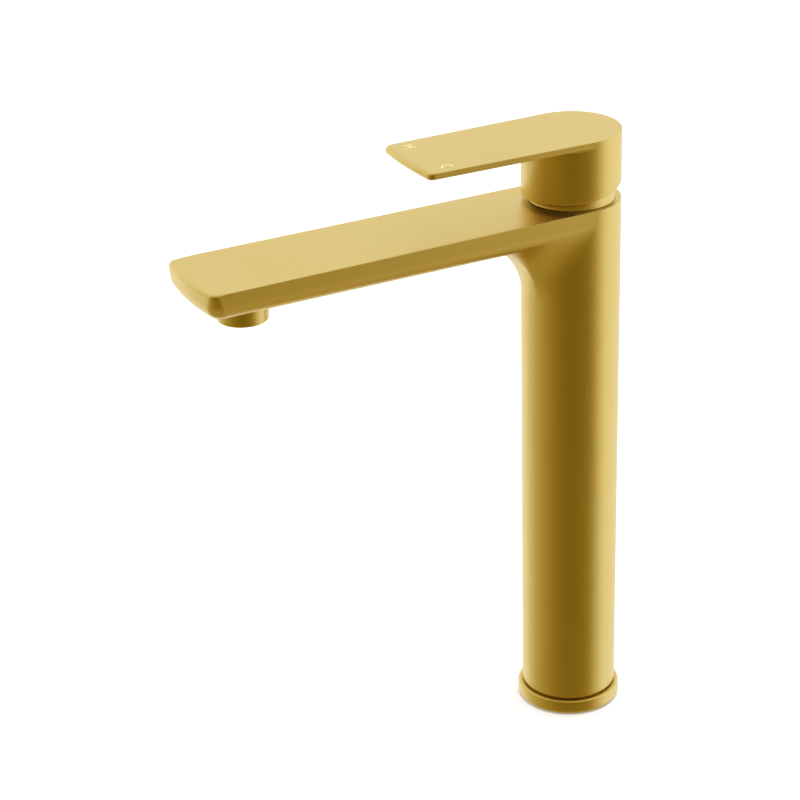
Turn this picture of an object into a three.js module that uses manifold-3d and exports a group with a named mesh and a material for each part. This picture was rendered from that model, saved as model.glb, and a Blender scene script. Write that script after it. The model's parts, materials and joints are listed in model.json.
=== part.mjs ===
// Tall single-lever bathroom mixer faucet, in millimetres.
// +Z is up and the origin is the centre of the underside of the foot.
// The spout and the lever point along -Y, so the user stands on the -Y side with hot on their left (-X).
import * as THREE from "three";
import { mergeVertices } from "three/addons/utils/BufferGeometryUtils.js";
import Module from "manifold-3d";

const wasm = await Module();
wasm.setup();

// ---- Driving dimensions -------------------------------------------------------------------

const GAP = 0.3; // play between pieces that touch
const SIDES = 48; // facets around the large round pieces
const SMALL_SIDES = 16; // facets around the small round pieces

const COLUMN = { topRadius: 23.5, footRadius: 23.1, bore: 20, top: 267.5, topEdge: 1.2 };
const FOOT = { radius: 25.2, height: 7.2, lowerEdge: 1.6, upperEdge: 1.1, groove: 0.8, step: 1.8 };
const SPOUT = {
  tip: 195.8, // axis to the front edge
  tipHalfWidth: 24.8,
  thickness: 14,
  drop: 0.9, // fall of the top face from the axis to the tip
  lowerRound: 7, // rounding of the long lower edges
  noseRound: 8, // rounding of the front under the tip
  corner: 2.5, // rounding of the tip's corners in plan
  bow: 2.4, // how far the middle of the front edge stands ahead of its corners
  fillet: 36, // sweep from the underside into the column
};
const OUTLET = { reach: 169, bore: 11.2 };
const CAP = { radius: 23.45, wall: 2.3, top: 301.2, frontRim: 269.5, rearRim: 275.7, ceiling: 4 };
const LEVER = { tip: 86.8, tipHalfWidth: 22.4, thickness: 3, corner: 2.5, bow: 1.2, bevel: 0.5 };
const PIVOT_Z = 259; // axis of the pin that the lever rocks on
const LIFT = 20; // degrees that the lever tips up
const DECK = { top: 232, thickness: 7 }; // floor inside the column that the cartridge stands on
const CAVITY_RADIUS = 19.6; // cartridge chamber
const PORT = { x: 7.5, y: 4.5, radius: 3.2 }; // hot (-X) and cold (+X) water ways
const TUBE = { outer: 4, inner: 3.2 };
const TUBE_SEAL = { section: 0.7, inset: 2.5 }; // O-rings, and how far they lie inside their sockets

const underside = COLUMN.top - SPOUT.thickness;
const tipTop = COLUMN.top - SPOUT.drop;
const deckBottom = DECK.top - DECK.thickness;
const tubeSocket = {
  radius: TUBE.outer + 2 * TUBE_SEAL.section + 2 * GAP,
  roof: DECK.top - 2,
};

// ---- Finishes -----------------------------------------------------------------------------

const finish = (color, roughness, metalness) => () =>
  new THREE.MeshStandardMaterial({ color, roughness, metalness });
const GOLD = finish(0xc9a94f, 0.32, 1);
const RAW_BRASS = finish(0xa9863d, 0.5, 1);
const COPPER = finish(0xb87349, 0.4, 1);
const STEEL = finish(0xb4b6b8, 0.35, 1);
const CERAMIC = finish(0xeeeae0, 0.25, 0);
const WHITE_PLASTIC = finish(0xe4e4e0, 0.45, 0);
const GREY_PLASTIC = finish(0x8d9094, 0.5, 0);
const BLACK_RUBBER = finish(0x1c1c1e, 0.8, 0);

// ---- Solids: geometry in, geometry out ------------------------------------------------------

function solid(geometry) {
  const bare = geometry.clone();
  bare.deleteAttribute("normal");
  bare.deleteAttribute("uv");
  const merged = mergeVertices(bare, 1e-4);
  const triVerts = new Uint32Array(merged.index.array);
  const vertProperties = merged.attributes.position.array;
  return new wasm.Manifold(new wasm.Mesh({ numProp: 3, vertProperties, triVerts }));
}

function geometryOf(manifold) {
  const mesh = manifold.getMesh();
  const geometry = new THREE.BufferGeometry();
  geometry.setAttribute("position", new THREE.BufferAttribute(mesh.vertProperties, 3));
  geometry.setIndex(new THREE.BufferAttribute(mesh.triVerts, 1));
  geometry.computeVertexNormals();
  return geometry;
}

const join = (first, ...others) => others.reduce((sum, other) => sum.add(other), first);
const cut = (first, ...others) => others.reduce((rest, other) => rest.subtract(other), first);

// A round solid about +Z from a closed [radius, z] outline.
function lathe(outline, sides = SIDES) {
  const points = outline.map(([r, z]) => new THREE.Vector2(r, z));
  const closed = new THREE.Shape(points);
  const forward = THREE.ShapeUtils.isClockWise(closed.getPoints()) ? [...points].reverse() : points;
  const geometry = new THREE.LatheGeometry([...forward, forward[0].clone()], sides);
  return solid(geometry.rotateX(Math.PI / 2));
}

function rod(radius, z0, z1, x = 0, y = 0, sides = SMALL_SIDES) {
  const geometry = new THREE.CylinderGeometry(radius, radius, z1 - z0, sides);
  geometry.rotateX(Math.PI / 2);
  return solid(geometry.translate(x, y, (z0 + z1) / 2));
}

function box([x0, x1], [y0, y1], [z0, z1]) {
  const geometry = new THREE.BoxGeometry(x1 - x0, y1 - y0, z1 - z0);
  return solid(geometry.translate((x0 + x1) / 2, (y0 + y1) / 2, (z0 + z1) / 2));
}

function ring(inner, outer, z0, z1, sides = SIDES) {
  return lathe([[inner, z0], [outer, z0], [outer, z1], [inner, z1]], sides);
}

// An O-ring of round section.
function oRing(middleRadius, sectionRadius, z, x = 0, y = 0, sides = SMALL_SIDES) {
  const geometry = new THREE.TorusGeometry(middleRadius, sectionRadius, 6, sides);
  return solid(geometry.translate(x, y, z));
}

// Extrudes a shape drawn in X and Y upwards between two heights.
function slab(shape, z0, z1, curveSegments = 12) {
  const options = { depth: z1 - z0, bevelEnabled: false, curveSegments };
  return solid(new THREE.ExtrudeGeometry(shape, options).translate(0, 0, z0));
}

// Extrudes a shape drawn in Y and Z along X, centred on X = 0.
function sideways(shape, width, curveSegments = 12) {
  const geometry = new THREE.ExtrudeGeometry(shape, { depth: width, bevelEnabled: false, curveSegments });
  geometry.translate(0, 0, -width / 2);
  geometry.applyMatrix4(new THREE.Matrix4().makeBasis(
    new THREE.Vector3(0, 1, 0), new THREE.Vector3(0, 0, 1), new THREE.Vector3(1, 0, 0)));
  return solid(geometry);
}

// Extrudes a shape drawn in X and Z towards -Y, from y0 down to y1.
function forwards(shape, y0, y1, curveSegments = 12) {
  const geometry = new THREE.ExtrudeGeometry(shape, { depth: y0 - y1, bevelEnabled: false, curveSegments });
  geometry.applyMatrix4(new THREE.Matrix4().makeBasis(
    new THREE.Vector3(1, 0, 0), new THREE.Vector3(0, 0, 1), new THREE.Vector3(0, -1, 0)));
  return solid(geometry.translate(0, y0, 0));
}

// Plan of a piece that is round behind the axis and runs forward to a bowed front with round corners.
function tonguePlan(rearRadius, tip, tipHalfWidth, corner, bow) {
  const shoulder = tip - bow; // where the bowed front would meet the sides
  const bowRadius = (tipHalfWidth ** 2 + bow ** 2) / (2 * bow);
  const bowAngle = Math.asin((tipHalfWidth - corner) / bowRadius);
  const bowEndY = bowRadius - tip - bowRadius * Math.cos(bowAngle);
  const front = -Math.PI / 2;
  const shape = new THREE.Shape();
  shape.absarc(0, 0, rearRadius, 0, Math.PI, false);
  shape.lineTo(-tipHalfWidth, corner - shoulder);
  shape.quadraticCurveTo(-tipHalfWidth, -shoulder, corner - tipHalfWidth, bowEndY);
  shape.absarc(0, bowRadius - tip, bowRadius, front - bowAngle, front + bowAngle, false);
  shape.quadraticCurveTo(tipHalfWidth, -shoulder, tipHalfWidth, corner - shoulder);
  shape.closePath();
  return shape;
}

const parts = new THREE.Group();

function add(name, manifold, material, parent = parts) {
  const mesh = new THREE.Mesh(geometryOf(manifold), material());
  mesh.name = name;
  parent.add(mesh);
  return mesh;
}

// ---- Body: the column and the spout in one casting -------------------------------------------

const columnRadiusAt = (z) =>
  COLUMN.footRadius + ((COLUMN.topRadius - COLUMN.footRadius) * z) / COLUMN.top;

function columnSolid() {
  const edge = COLUMN.topEdge;
  return lathe([
    [0, FOOT.step + GAP],
    [columnRadiusAt(0), FOOT.step + GAP],
    [COLUMN.topRadius, COLUMN.top - edge],
    [COLUMN.topRadius - edge, COLUMN.top],
    [0, COLUMN.top],
  ]);
}

// Section across the spout: flat top, upright sides and rounded lower edges.
function spoutSection() {
  const half = SPOUT.tipHalfWidth;
  const round = SPOUT.lowerRound;
  const shape = new THREE.Shape();
  shape.moveTo(-half, COLUMN.top + 1);
  shape.lineTo(-half, underside + round);
  shape.quadraticCurveTo(-half, underside, -half + round, underside);
  shape.lineTo(half - round, underside);
  shape.quadraticCurveTo(half, underside, half, underside + round);
  shape.lineTo(half, COLUMN.top + 1);
  shape.closePath();
  return shape;
}

// Side view of the spout: sloping top, level underside and a round nose.
function spoutSide() {
  const round = SPOUT.noseRound;
  const rear = COLUMN.topRadius + 1;
  const shape = new THREE.Shape();
  shape.moveTo(rear, COLUMN.top + (SPOUT.drop * rear) / SPOUT.tip);
  shape.lineTo(-SPOUT.tip - 1, tipTop);
  shape.quadraticCurveTo(-SPOUT.tip, underside, -SPOUT.tip + round, underside);
  shape.lineTo(rear, underside);
  shape.closePath();
  return shape;
}

function spoutSolid() {
  const plan = tonguePlan(COLUMN.topRadius, SPOUT.tip, SPOUT.tipHalfWidth, SPOUT.corner, SPOUT.bow);
  return slab(plan, underside - 1, COLUMN.top + 1)
    .intersect(sideways(spoutSide(), 2 * SPOUT.tipHalfWidth + 2))
    .intersect(forwards(spoutSection(), COLUMN.topRadius + 1, -SPOUT.tip - 1));
}

// The flare that carries the column's front into the underside of the spout.
function filletSolid() {
  const outline = [[0, underside - SPOUT.fillet]];
  const steps = 9;
  for (let i = 0; i <= steps; i++) {
    const angle = ((Math.PI / 2) * i) / steps;
    const radius = COLUMN.topRadius + SPOUT.fillet * (1 - Math.cos(angle));
    outline.push([radius, underside - SPOUT.fillet * (1 - Math.sin(angle))]);
  }
  outline.push([COLUMN.topRadius + SPOUT.fillet, underside + 2], [0, underside + 2]);
  const widest = COLUMN.topRadius - 0.5;
  const reach = COLUMN.topRadius + SPOUT.fillet + 1;
  const ahead = box([-widest, widest], [-reach, 0], [underside - SPOUT.fillet - 1, underside + 3]);
  return lathe(outline).intersect(ahead);
}

// Everything that is hollow in the casting: tube space, cartridge chamber and the way to the outlet.
function bodyHollows() {
  const channel = { half: 19.5, floor: 256.2, roof: 264, start: -22.4 };
  const window = { half: 9, floor: 249, front: -27, rear: -15 };
  return [
    rod(COLUMN.bore, -1, deckBottom, 0, 0, SIDES),
    rod(CAVITY_RADIUS, DECK.top, COLUMN.top + 1, 0, 0, SIDES),
    box([-window.half, window.half], [window.front, window.rear], [window.floor, channel.floor + 1.5]),
    box([-channel.half, channel.half], [-OUTLET.reach, channel.start], [channel.floor, channel.roof]),
    rod(OUTLET.bore, underside - 2, channel.roof, 0, -OUTLET.reach, SIDES / 2),
    ...[-PORT.x, PORT.x].flatMap((x) => [
      rod(PORT.radius, deckBottom - 1, DECK.top + 1, x, PORT.y),
      rod(tubeSocket.radius, deckBottom - 1, tubeSocket.roof, x, PORT.y),
    ]),
  ];
}

function buildBody() {
  const outside = join(columnSolid(), spoutSolid(), filletSolid());
  add("body", cut(outside, ...bodyHollows()), GOLD);
}

// ---- Foot: base ring, gasket and inlet block --------------------------------------------------

function buildFoot() {
  const seat = columnRadiusAt(0) + FOOT.groove;
  const seal = { inner: 20.9, outer: 23.1, depth: 1.1 };
  const base = lathe([
    [COLUMN.bore, 0],
    [FOOT.radius - FOOT.lowerEdge, 0],
    [FOOT.radius - 0.3 * FOOT.lowerEdge, 0.3 * FOOT.lowerEdge],
    [FOOT.radius, FOOT.lowerEdge],
    [FOOT.radius, FOOT.height - FOOT.upperEdge],
    [FOOT.radius - 0.3 * FOOT.upperEdge, FOOT.height - 0.3 * FOOT.upperEdge],
    [seat + 0.2, FOOT.height],
    [seat, FOOT.height - 0.2],
    [seat, FOOT.step],
    [COLUMN.bore, FOOT.step],
  ]);
  add("base_ring", cut(base, ring(seal.inner, seal.outer, -1, seal.depth)), GOLD);
  const gasket = ring(seal.inner + GAP, seal.outer - GAP, 0.1, seal.depth - GAP);
  add("base_gasket", gasket, BLACK_RUBBER);

  const block = { radius: COLUMN.bore - GAP, height: 18 };
  const hoseSocket = { radius: 4.5, depth: 9 };
  const studSocket = { radius: 3.4, depth: 13, y: -11 };
  const tubeFloor = 12;
  const ways = [-PORT.x, PORT.x].flatMap((x) => [
    rod(hoseSocket.radius, -1, hoseSocket.depth, x, PORT.y),
    rod(PORT.radius, -1, block.height + 1, x, PORT.y),
    rod(tubeSocket.radius, tubeFloor, block.height + 1, x, PORT.y),
  ]);
  const stud = rod(studSocket.radius, -1, studSocket.depth, 0, studSocket.y);
  const solidBlock = rod(block.radius, 0, block.height, 0, 0, SIDES);
  add("inlet_block", cut(solidBlock, ...ways, stud), RAW_BRASS);

  // The two tubes and the O-rings that seal them at both ends.
  const ends = { low: tubeFloor + GAP, high: tubeSocket.roof - GAP };
  const sealMiddle = TUBE.outer + GAP + TUBE_SEAL.section;
  [["hot", -PORT.x], ["cold", PORT.x]].forEach(([side, x]) => {
    const tube = cut(
      rod(TUBE.outer, ends.low, ends.high, x, PORT.y),
      rod(TUBE.inner, ends.low - 1, ends.high + 1, x, PORT.y),
    );
    add(`${side}_tube`, tube, COPPER);
    const lowRing = oRing(sealMiddle, TUBE_SEAL.section, block.height - TUBE_SEAL.inset, x, PORT.y);
    add(`${side}_tube_lower_seal`, lowRing, BLACK_RUBBER);
    const highRing = oRing(sealMiddle, TUBE_SEAL.section, deckBottom + TUBE_SEAL.inset, x, PORT.y);
    add(`${side}_tube_upper_seal`, highRing, BLACK_RUBBER);
  });
}

// ---- Cartridge: the ceramic valve that mixes and meters the water -----------------------------

const CARTRIDGE = {
  radius: 17.3,
  base: [DECK.top + 0.4, DECK.top + 6],
  fixedDisc: [DECK.top + 6.3, DECK.top + 9.3],
  movingDisc: [DECK.top + 9.6, DECK.top + 12.6],
  carrier: [DECK.top + 12.9, DECK.top + 18.2],
  guide: [DECK.top + 18.6, 270],
  neckRadius: 14,
  flange: { radius: CAVITY_RADIUS - GAP, z: [259.6, 262] },
};
const OUTLET_PORT = { y: -8, radius: 3.4 };
const PORT_SEAL = { middle: 4.3, section: 0.65, seat: { outer: 5.4, depth: 1.5 } };
const FIXED_DISC_RADIUS = 13.4;
const MOVING_DISC = { radius: 10.4, pocketDepth: 1.6 };
const BALL = { radius: 2.3, z: DECK.top + 16.5 }; // lower end of the spindle
const GUIDE = { radius: 12, flange: 14.4, flangeTop: DECK.top + 21.5 };
const SPINDLE = { radius: 3, waist: 1.6, waistLength: 4, square: 4, squareBottom: 280, top: 294.5 };
const PIN = { radius: 1.5, half: 10.5, play: 0.1 };

function buildPorts(z0, z1, radius) {
  return [-PORT.x, PORT.x].map((x) => rod(radius, z0, z1, x, PORT.y));
}

function buildCartridgeBase() {
  const [z0, z1] = CARTRIDGE.base;
  const sideHalf = 4;
  const sideFloor = z0 + 1.5;
  const sideWay = box([-sideHalf, sideHalf], [-CARTRIDGE.radius - 1, OUTLET_PORT.y], [sideFloor, z1 - 1.2]);
  const base = cut(
    rod(CARTRIDGE.radius, z0, z1, 0, 0, SIDES),
    ...buildPorts(z0 - 1, z1 + 1, PORT.radius),
    ...buildPorts(z0 - 1, z0 + PORT_SEAL.seat.depth, PORT_SEAL.seat.outer),
    rod(OUTLET_PORT.radius, sideFloor, z1 + 1, 0, OUTLET_PORT.y),
    sideWay,
  );
  add("cartridge_base", base, WHITE_PLASTIC);
  [["hot", -PORT.x], ["cold", PORT.x]].forEach(([side, x]) => {
    const seal = oRing(PORT_SEAL.middle, PORT_SEAL.section, z0 + PORT_SEAL.section, x, PORT.y);
    add(`${side}_port_seal`, seal, BLACK_RUBBER);
  });
}

function buildDiscs() {
  const [f0, f1] = CARTRIDGE.fixedDisc;
  const fixed = cut(
    rod(FIXED_DISC_RADIUS, f0, f1, 0, 0, SIDES),
    ...buildPorts(f0 - 1, f1 + 1, PORT.radius - 0.4),
    rod(OUTLET_PORT.radius, f0 - 1, f1 + 1, 0, OUTLET_PORT.y),
  );
  add("fixed_disc", fixed, CERAMIC);

  // The pocket under the moving disc bridges the inlets to the outlet once the disc slides forward.
  const [m0, m1] = CARTRIDGE.movingDisc;
  const pocket = slab(pocketShape(), m0 - 1, m0 + MOVING_DISC.pocketDepth);
  add("moving_disc", cut(rod(MOVING_DISC.radius, m0, m1, 0, 0, SIDES), pocket), CERAMIC);
}

function pocketShape() {
  const back = { y: -1.2, radius: 6, from: Math.PI * 0.05 };
  const front = { y: -6.4, half: OUTLET_PORT.radius };
  const shape = new THREE.Shape();
  shape.absarc(0, back.y, back.radius, back.from, Math.PI - back.from, false);
  shape.lineTo(-front.half, front.y);
  shape.lineTo(front.half, front.y);
  shape.closePath();
  return shape;
}

function buildCarrier() {
  const [z0, z1] = CARTRIDGE.carrier;
  const half = BALL.radius + GAP;
  const slot = box([-half, half], [-half, half], [z0 + 1, z1 + 1]);
  add("disc_carrier", cut(rod(MOVING_DISC.radius, z0, z1, 0, 0, SIDES / 2), slot), GREY_PLASTIC);
}

function buildShell() {
  const bottom = CARTRIDGE.base[1] + GAP;
  const roof = GUIDE.flangeTop + GAP;
  const { radius, z: [f0, f1] } = CARTRIDGE.flange;
  const inside = 15;
  const neckTop = CARTRIDGE.guide[1] - 1.5;
  const seat = { inner: 17.4, z: [f0 + 0.5, f1 - 0.5] };
  const shell = lathe([
    [inside, bottom],
    [CARTRIDGE.radius, bottom],
    [CARTRIDGE.radius, f0],
    [radius, f0],
    [radius, seat.z[0]],
    [seat.inner, seat.z[0]],
    [seat.inner, seat.z[1]],
    [radius, seat.z[1]],
    [radius, f1],
    [CARTRIDGE.neckRadius, f1],
    [CARTRIDGE.neckRadius, neckTop],
    [GUIDE.radius + GAP, neckTop],
    [GUIDE.radius + GAP, roof],
    [inside, roof],
  ]);
  add("cartridge_shell", shell, WHITE_PLASTIC);
  const sealSection = (seat.z[1] - seat.z[0]) / 2 - 0.1;
  const sealMiddle = seat.inner + GAP + sealSection;
  add("cartridge_seal", oRing(sealMiddle, sealSection, (f0 + f1) / 2, 0, 0, SIDES), BLACK_RUBBER);
}

// A rod about the axis that the lever rocks on.
function alongPivot(radius, half) {
  return rod(radius, -half, half).rotate([0, 90, 0]).translate([0, 0, PIVOT_Z]);
}

// The guide turns in the shell's neck, and the spindle rocks in the guide's slot.
function buildGuide() {
  const [z0, z1] = CARTRIDGE.guide;
  const half = SPINDLE.radius + 0.4;
  const outside = lathe([
    [0, z0], [GUIDE.flange, z0], [GUIDE.flange, GUIDE.flangeTop],
    [GUIDE.radius, GUIDE.flangeTop], [GUIDE.radius, z1], [0, z1],
  ]);
  const slot = sideways(slotShape(z0 - 1, z1 + 1), 2 * half);
  const pinHole = alongPivot(PIN.radius + PIN.play, GUIDE.flange + 1);
  add("lever_guide", cut(outside, slot, pinHole), GREY_PLASTIC);
}

// Side view of the swing of the spindle, widening both ways from the pin.
function slotShape(low, high) {
  const clear = SPINDLE.radius + 0.5;
  const swing = Math.tan(THREE.MathUtils.degToRad(LIFT + 1));
  const shape = new THREE.Shape();
  shape.moveTo(-clear, PIVOT_Z);
  shape.lineTo(-clear - (PIVOT_Z - low) * swing, low);
  shape.lineTo(clear, low);
  shape.lineTo(clear, PIVOT_Z);
  shape.lineTo(clear + (high - PIVOT_Z) * swing, high);
  shape.lineTo(-clear, high);
  shape.closePath();
  return shape;
}

function buildSpindle() {
  const ball = solid(new THREE.SphereGeometry(BALL.radius, 12, 8).translate(0, 0, BALL.z));
  const waistTop = BALL.z + SPINDLE.waistLength;
  const waist = rod(SPINDLE.waist, BALL.z, waistTop);
  const shaft = rod(SPINDLE.radius, waistTop, SPINDLE.squareBottom + 1);
  const half = SPINDLE.square;
  const square = box([-half, half], [-half, half], [SPINDLE.squareBottom, SPINDLE.top]);
  const pinHole = alongPivot(PIN.radius + PIN.play, SPINDLE.radius + 1);
  add("spindle", cut(join(ball, waist, shaft, square), pinHole), STEEL);
  add("spindle_pin", alongPivot(PIN.radius, PIN.half), STEEL);
}

// The nut clamps the cartridge, and the dome hides both under the handle.
function buildNutAndDome() {
  const low = CARTRIDGE.flange.z[1] + GAP;
  const outer = CAVITY_RADIUS - GAP;
  const inner = CARTRIDGE.neckRadius + 0.4;
  const collar = { radius: 17.4, low: COLUMN.top - 0.6, high: COLUMN.top + 2.7 };
  const nut = lathe([
    [inner, low], [outer, low], [outer, collar.low],
    [collar.radius, collar.low], [collar.radius, collar.high], [inner, collar.high],
  ]);
  const slot = { half: 2.2, depth: 1.4, low: COLUMN.top + 0.9 };
  const notch = box(
    [-slot.half, slot.half],
    [collar.radius - slot.depth, collar.radius + 1],
    [slot.low, collar.high + 1],
  );
  const notches = Array.from({ length: 6 }, (_, i) => notch.rotate([0, 0, 60 * i]));
  add("cartridge_nut", cut(nut, ...notches), RAW_BRASS);

  const dome = { outer: 22.6, wall: 1.2, opening: 12.2 };
  const from = Math.asin((COLUMN.top + GAP - PIVOT_Z) / dome.outer);
  const to = Math.acos(dome.opening / dome.outer);
  const steps = 5;
  const arc = (radius, a, b) => Array.from({ length: steps + 1 }, (_, i) => {
    const angle = a + ((b - a) * i) / steps;
    return [radius * Math.cos(angle), PIVOT_Z + radius * Math.sin(angle)];
  });
  const innerRadius = dome.outer - dome.wall;
  const innerFrom = Math.asin((COLUMN.top + GAP - PIVOT_Z) / innerRadius);
  const innerTo = Math.acos(dome.opening / innerRadius);
  const outline = [...arc(dome.outer, from, to), ...arc(innerRadius, innerTo, innerFrom)];
  add("dome_cover", lathe(outline), GOLD);
}

// ---- Handle: cap and lever in one casting, with its fixing screw -------------------------------

const SCREW = { radius: 2.5, z: 289, from: SPINDLE.square + GAP, to: 14, hexRadius: 1.45, hexDepth: 3 };
const PLUG = { radius: 3.4, from: 19.6, sunk: 0.3, stem: 3 };

function capSolid() {
  const edge = LEVER.bevel;
  const shell = lathe([
    [0, CAP.top - CAP.ceiling],
    [CAP.radius - CAP.wall, CAP.top - CAP.ceiling],
    [CAP.radius - CAP.wall, CAP.frontRim - 1],
    [CAP.radius, CAP.frontRim - 1],
    [CAP.radius, CAP.top - edge],
    [CAP.radius - edge, CAP.top],
    [0, CAP.top],
  ]);
  return cut(shell, rimCut());
}

// Wedge under the rim, which rises towards the back so that the lever can tip up.
function rimCut() {
  const reach = CAP.radius + 1;
  const slope = (CAP.rearRim - CAP.frontRim) / (2 * CAP.radius);
  const middle = (CAP.rearRim + CAP.frontRim) / 2;
  const shape = new THREE.Shape();
  shape.moveTo(-reach, middle - slope * reach);
  shape.lineTo(-reach, CAP.frontRim - 20);
  shape.lineTo(reach, CAP.frontRim - 20);
  shape.lineTo(reach, middle + slope * reach);
  shape.closePath();
  return sideways(shape, 2 * reach);
}

function leverSolid() {
  const plan = tonguePlan(CAP.radius, LEVER.tip, LEVER.tipHalfWidth, LEVER.corner, LEVER.bow);
  const low = CAP.top - LEVER.thickness;
  const edge = LEVER.bevel;
  const options = { depth: LEVER.thickness - 2 * edge, bevelThickness: edge, bevelSize: edge };
  const plate = new THREE.ExtrudeGeometry(plan, {
    ...options, bevelOffset: -edge, bevelSegments: 1, curveSegments: 12,
  });
  return solid(plate.translate(0, 0, low + edge));
}

function buildHandle() {
  const boss = { radius: 7.6, bottom: 283, rib: 5 };
  const roof = CAP.top - CAP.ceiling + 0.5;
  const socket = SPINDLE.square + GAP;
  const back = CAP.radius - CAP.wall + 0.5;
  const screwWay = rod(SCREW.radius + GAP, 0, CAP.radius + 5);
  const plugWay = rod(PLUG.radius + GAP, PLUG.from - GAP, CAP.radius + 5);
  const toBack = (tool) => tool.rotate([-90, 0, 0]).translate([0, 0, SCREW.z]);
  const handle = cut(
    join(
      capSolid(),
      leverSolid(),
      rod(boss.radius, boss.bottom, roof),
      box([-boss.rib, boss.rib], [0, back], [boss.bottom, roof]),
    ),
    box([-socket, socket], [-socket, socket], [boss.bottom - 1, SPINDLE.top + GAP]),
    toBack(screwWay),
    toBack(plugWay),
  );
  add("handle", handle, GOLD);

  const hexSocket = rod(SCREW.hexRadius, SCREW.to - SCREW.hexDepth, SCREW.to + 1, 0, 0, 6);
  add("handle_screw", toBack(cut(rod(SCREW.radius, SCREW.from, SCREW.to), hexSocket)), STEEL);
  const plug = join(
    rod(PLUG.radius, PLUG.from, CAP.radius - PLUG.sunk),
    rod(SCREW.radius, PLUG.from - PLUG.stem, PLUG.from + 0.5),
  );
  add("screw_plug", toBack(plug), GOLD);
}

// ---- Aerator: the mouthpiece screwed into the underside of the spout ---------------------------

function buildAerator() {
  const sides = SIDES;
  const thread = OUTLET.bore - GAP;
  const housing = { radius: 11.8, edge: 0.5, thread, bore: 9.9, lip: 8.9, bottom: 242.6, top: 259 };
  const lipHeight = 1.6;
  const seat = housing.bottom + lipHeight;
  const shoulder = underside - GAP;
  const place = (manifold) => manifold.translate([0, -OUTLET.reach, 0]);
  const shell = lathe([
    [housing.lip, housing.bottom],
    [housing.radius - housing.edge, housing.bottom],
    [housing.radius, housing.bottom + housing.edge],
    [housing.radius, shoulder],
    [housing.thread, shoulder],
    [housing.thread, housing.top],
    [housing.bore, housing.top],
    [housing.bore, seat],
    [housing.lip, seat],
  ], sides);
  add("aerator_housing", place(shell), GOLD);

  const inside = housing.bore - GAP;
  const grid = { low: seat + GAP, thick: 1.6, hole: 1.2, pitch: 3.6 };
  const holes = hexagonPoints(grid.pitch, 2).map(([x, y]) =>
    rod(grid.hole, grid.low - 1, grid.low + grid.thick + 1, x, y, 6));
  const gridTop = grid.low + grid.thick;
  add("aerator_grid", place(cut(rod(inside, grid.low, gridTop, 0, 0, sides), ...holes)), WHITE_PLASTIC);

  // The insert is a ring with the perforated plate that breaks the flow into jets.
  const insert = { low: gridTop + GAP, high: 255.2, wall: 1.3, plate: 1.4 };
  const jet = { count: 8, radius: 0.9, circle: 5 };
  const jets = Array.from({ length: jet.count }, (_, i) => {
    const angle = (2 * Math.PI * i) / jet.count;
    const [x, y] = [jet.circle * Math.cos(angle), jet.circle * Math.sin(angle)];
    return rod(jet.radius, insert.high - insert.plate - 1, insert.high + 1, x, y, 8);
  });
  const cup = lathe([
    [inside - insert.wall, insert.low], [inside, insert.low], [inside, insert.high],
    [0, insert.high], [0, insert.high - insert.plate], [inside - insert.wall, insert.high - insert.plate],
  ], sides);
  add("aerator_insert", place(cut(cup, ...jets)), GREY_PLASTIC);
  const screenLow = insert.high + GAP;
  add("aerator_screen", place(screenSolid(inside, screenLow)), STEEL);
  const washerLow = housing.top + GAP;
  const washer = ring(housing.bore - 2.4, housing.thread - 0.2, washerLow, washerLow + 2, sides);
  add("aerator_washer", place(washer), BLACK_RUBBER);
}

// Points of a hexagonal grid, in rings about the middle.
function hexagonPoints(pitch, rings) {
  const points = [];
  for (let q = -rings; q <= rings; q++) {
    for (let r = Math.max(-rings, -q - rings); r <= Math.min(rings, -q + rings); r++) {
      points.push([pitch * (q + r / 2), (pitch * r * Math.sqrt(3)) / 2]);
    }
  }
  return points;
}

// Strainer: a thin disc pierced by a square lattice of openings.
function screenSolid(radius, low) {
  const thick = 0.8;
  const pitch = 3.1;
  const half = 1.15;
  const openings = [];
  for (let i = -2; i <= 2; i++) {
    for (let j = -2; j <= 2; j++) {
      const inCorner = Math.abs(i * j) === 4;
      if (inCorner) continue;
      const [x, y] = [i * pitch, j * pitch];
      openings.push(box([x - half, x + half], [y - half, y + half], [low - 1, low + thick + 1]));
    }
  }
  return cut(rod(radius, low, low + thick, 0, 0, SIDES), ...openings);
}

buildBody();
buildFoot();
buildCartridgeBase();
buildDiscs();
buildCarrier();
buildShell();
buildGuide();
buildSpindle();
buildNutAndDome();
buildHandle();
buildAerator();

export default parts;
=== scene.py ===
import json
import math

import bmesh
import bpy
import numpy as np
from mathutils import Matrix, Vector


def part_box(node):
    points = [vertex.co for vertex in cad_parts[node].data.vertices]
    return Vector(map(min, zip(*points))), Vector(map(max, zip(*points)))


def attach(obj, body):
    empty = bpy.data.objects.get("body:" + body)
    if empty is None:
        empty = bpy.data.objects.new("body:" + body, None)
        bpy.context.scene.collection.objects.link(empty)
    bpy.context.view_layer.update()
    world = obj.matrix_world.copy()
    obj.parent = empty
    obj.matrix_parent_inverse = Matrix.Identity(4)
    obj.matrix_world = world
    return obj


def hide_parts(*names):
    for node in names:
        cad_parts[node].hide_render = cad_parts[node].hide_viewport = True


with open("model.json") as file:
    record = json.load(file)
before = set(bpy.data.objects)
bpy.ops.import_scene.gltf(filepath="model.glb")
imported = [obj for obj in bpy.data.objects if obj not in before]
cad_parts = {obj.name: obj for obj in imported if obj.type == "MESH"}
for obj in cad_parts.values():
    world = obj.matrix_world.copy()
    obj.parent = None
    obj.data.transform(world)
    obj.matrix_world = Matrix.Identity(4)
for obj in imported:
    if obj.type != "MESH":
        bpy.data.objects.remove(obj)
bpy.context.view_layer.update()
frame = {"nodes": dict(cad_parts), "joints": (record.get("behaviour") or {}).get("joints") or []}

# A tall single-lever bathroom mixer faucet in satin gold. Shapes are worked out in millimetres in
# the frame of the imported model: +Z is up, and the spout and the lever point along -Y.
MM = 0.001


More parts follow.
